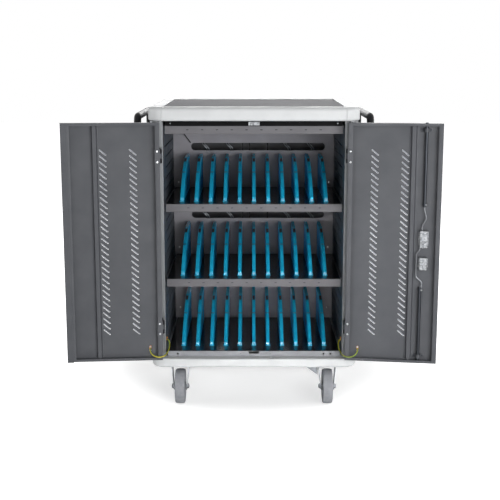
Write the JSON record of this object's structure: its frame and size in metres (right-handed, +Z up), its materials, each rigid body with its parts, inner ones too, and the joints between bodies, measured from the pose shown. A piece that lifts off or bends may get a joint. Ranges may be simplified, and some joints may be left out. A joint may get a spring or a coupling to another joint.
{
  "type": "laptop charging cart",
  "caption": "Wheeled laptop charging cabinet with slotted front doors, shelves of upright blue dividers, a rear power bay, side push handles and swivel casters.",
  "frame": {"origin": "on the floor, under the middle of the cart with its front doors open as pictured", "axes": "+X to the right seen from the front, +Y from the front doors towards the rear door, +Z up"},
  "size_m": [1.2402, 0.7086, 1.035],
  "materials": {
    "rail_paint": "light grey powder coat",
    "top_laminate": "grey fine-textured laminate",
    "post_aluminium": "grey satin",
    "door_paint": "anthracite powder coat",
    "panel_paint": "anthracite powder coat",
    "inner_paint": "dark grey powder coat",
    "tray_paint": "mid grey powder coat",
    "divider_plastic": "blue moulded",
    "black_plastic": "black moulded",
    "zinc": "zinc plated",
    "rod_steel": "dark burnished",
    "fork_steel": "zinc plated pressing",
    "wheel_rubber": "grey non-marking",
    "earth_wire": "green and yellow sleeve"
  },
  "bodies": {
    "cabinet": {"cap_frame": "rail_paint", "base_frame": "rail_paint", "cap_corner_front_right": "rail_paint", "cap_corner_rear_right": "rail_paint", "cap_corner_rear_left": "rail_paint", "cap_corner_front_left": "rail_paint", "top_panel": "top_laminate", "post_front_right": "post_aluminium", "post_rear_right": "post_aluminium", "post_rear_left": "post_aluminium", "post_front_left": "post_aluminium", "hinge_frame_right_upper": "black_plastic", "hinge_frame_right_lower": "black_plastic", "hinge_frame_left_upper": "black_plastic", "hinge_frame_left_lower": "black_plastic", "rear_hinge": "black_plastic", "power_strip_upper": "black_plastic", "power_strip_middle": "black_plastic", "power_strip_lower": "black_plastic", "mains_inlet": "black_plastic", "push_handle_right": "black_plastic", "push_handle_left": "black_plastic", "catch_plate": "zinc", "ceiling_tray": "tray_paint", "shelf_upper": "divider_plastic", "shelf_lower": "divider_plastic", "floor_tray": "divider_plastic", "shelf_support_right": "inner_paint", "shelf_support_left": "inner_paint", "rear_partition": "inner_paint", "side_panel_right": "panel_paint", "side_panel_left": "panel_paint", "earth_wire_right": "earth_wire", "earth_wire_left": "earth_wire"},
    "door_right": {"door_right": "door_paint", "hinge_door_right_upper": "door_paint", "hinge_door_right_lower": "door_paint", "lock_case_upper": "zinc", "lock_case_lower": "zinc", "rod_guide_upper": "door_paint", "rod_guide_lower": "door_paint", "lock_escutcheon": "black_plastic"},
    "door_left": {"door_left": "door_paint", "hinge_door_left_upper": "door_paint", "hinge_door_left_lower": "door_paint"},
    "rod_upper": {"rod_upper": "rod_steel"},
    "rod_lower": {"rod_lower": "rod_steel"},
    "swing_handle": {"swing_handle": "black_plastic"},
    "rear_door": {"rear_door": "panel_paint"},
    "rear_lock": {"rear_lock": "zinc"},
    "caster_fork_front_right": {"caster_fork_front_right": "fork_steel"},
    "caster_wheel_front_right": {"caster_wheel_front_right": "wheel_rubber"},
    "caster_fork_front_left": {"caster_fork_front_left": "fork_steel"},
    "caster_wheel_front_left": {"caster_wheel_front_left": "wheel_rubber"},
    "caster_fork_rear_right": {"caster_fork_rear_right": "fork_steel"},
    "caster_wheel_rear_right": {"caster_wheel_rear_right": "wheel_rubber"},
    "caster_fork_rear_left": {"caster_fork_rear_left": "fork_steel"},
    "caster_wheel_rear_left": {"caster_wheel_rear_left": "wheel_rubber"},
    "brake_lever_front_right": {"brake_lever_front_right": "fork_steel"},
    "brake_lever_rear_right": {"brake_lever_rear_right": "fork_steel"}
  },
  "joints": [
    {"name": "door_right_hinge", "type": "hinge", "parent": "cabinet", "child": "door_right", "pos_m": [0.309, -0.28573, 0.5855], "axis": [0, 0, -1], "range_deg": [-8, 172], "deforming": ["earth_wire_right"]},
    {"name": "door_left_hinge", "type": "hinge", "parent": "cabinet", "child": "door_left", "pos_m": [-0.309, -0.28573, 0.5855], "axis": [0, 0, 1], "range_deg": [-5, 175], "deforming": ["earth_wire_left"]},
    {"name": "swing_handle_turn", "type": "hinge", "parent": "door_right", "child": "swing_handle", "pos_m": [0.56095, -0.31811, 0.607], "axis": [-0.1392, -0.9903, 0], "range_deg": [0, 90]},
    {"name": "rod_upper_slide", "type": "slide", "parent": "door_right", "child": "rod_upper", "axis": [0, 0, 1], "range_m": [0, 0.0121]},
    {"name": "rod_lower_slide", "type": "slide", "parent": "door_right", "child": "rod_lower", "axis": [0, 0, -1], "range_m": [0, 0.0121]},
    {"name": "rear_door_hinge", "type": "hinge", "parent": "cabinet", "child": "rear_door", "pos_m": [-0.309, 0.34827, 0.5855], "axis": [0, 0, 1], "range_deg": [0, 170]},
    {"name": "rear_lock_turn", "type": "hinge", "parent": "rear_door", "child": "rear_lock", "pos_m": [0.283, 0.34627, 0.6], "axis": [0, -1, 0], "range_deg": [0, 90]},
    {"name": "caster_swivel_front_right", "type": "hinge", "parent": "cabinet", "child": "caster_fork_front_right", "pos_m": [0.257, -0.18273, 0.14], "axis": [0, 0, 1], "continuous": true},
    {"name": "wheel_spin_front_right", "type": "hinge", "parent": "caster_fork_front_right", "child": "caster_wheel_front_right", "pos_m": [0.257, -0.21273, 0.0613], "axis": [1, 0, 0], "continuous": true},
    {"name": "caster_swivel_front_left", "type": "hinge", "parent": "cabinet", "child": "caster_fork_front_left", "pos_m": [-0.257, -0.18273, 0.14], "axis": [0, 0, 1], "continuous": true},
    {"name": "wheel_spin_front_left", "type": "hinge", "parent": "caster_fork_front_left", "child": "caster_wheel_front_left", "pos_m": [-0.257, -0.21273, 0.0613], "axis": [1, 0, 0], "continuous": true},
    {"name": "caster_swivel_rear_right", "type": "hinge", "parent": "cabinet", "child": "caster_fork_rear_right", "pos_m": [0.257, 0.24527, 0.14], "axis": [0, 0, 1], "continuous": true},
    {"name": "wheel_spin_rear_right", "type": "hinge", "parent": "caster_fork_rear_right", "child": "caster_wheel_rear_right", "pos_m": [0.257, 0.21527, 0.0613], "axis": [1, 0, 0], "continuous": true},
    {"name": "caster_swivel_rear_left", "type": "hinge", "parent": "cabinet", "child": "caster_fork_rear_left", "pos_m": [-0.257, 0.24527, 0.14], "axis": [0, 0, 1], "continuous": true},
    {"name": "wheel_spin_rear_left", "type": "hinge", "parent": "caster_fork_rear_left", "child": "caster_wheel_rear_left", "pos_m": [-0.257, 0.21527, 0.0613], "axis": [1, 0, 0], "continuous": true},
    {"name": "brake_press_front_right", "type": "hinge", "parent": "caster_fork_front_right", "child": "brake_lever_front_right", "pos_m": [0.2247, -0.18273, 0.0955], "axis": [0, -1, 0], "range_deg": [0, 15]},
    {"name": "brake_press_rear_right", "type": "hinge", "parent": "caster_fork_rear_right", "child": "brake_lever_rear_right", "pos_m": [0.2247, 0.24527, 0.0955], "axis": [0, -1, 0], "range_deg": [0, 15]}
  ],
  "couplings": [
    {"joint": "rod_upper_slide", "follows": "swing_handle_turn", "m_per_rad": 0.0076394},
    {"joint": "rod_lower_slide", "follows": "swing_handle_turn", "m_per_rad": 0.0076394}
  ]
}
